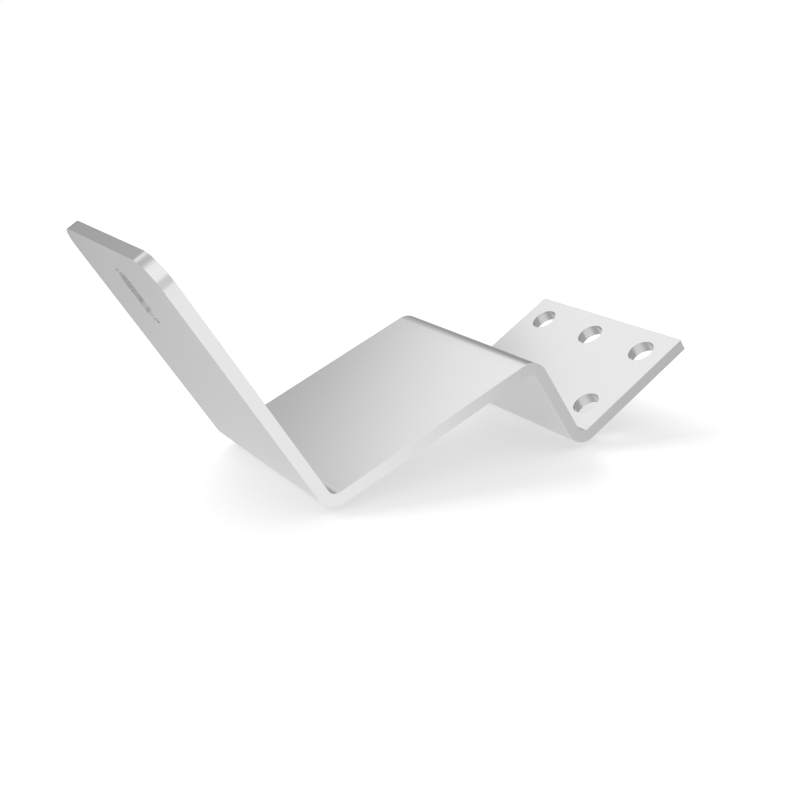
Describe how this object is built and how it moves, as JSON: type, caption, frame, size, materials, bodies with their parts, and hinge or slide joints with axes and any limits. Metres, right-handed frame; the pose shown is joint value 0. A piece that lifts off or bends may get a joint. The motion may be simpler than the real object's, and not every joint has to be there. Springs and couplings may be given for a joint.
{
  "type": "solar roof hook",
  "caption": "Folded metal plate hook: its base screws to a rafter under roof tiles and its slotted upright holds a solar module rail.",
  "frame": {"origin": "middle of the screw pattern on the base's underside", "axes": "+Z is the roof's outward normal, away from the rafter; +X points up the roof, from the upright to the base's free end; +Y runs across the plate"},
  "size_m": [0.1295, 0.075, 0.1394],
  "materials": {
    "satin_steel": "satin stainless steel plate, cold rolled faces and cut edges"
  },
  "bodies": {
    "root": {"roof_hook": "satin_steel"}
  },
  "joints": []
}
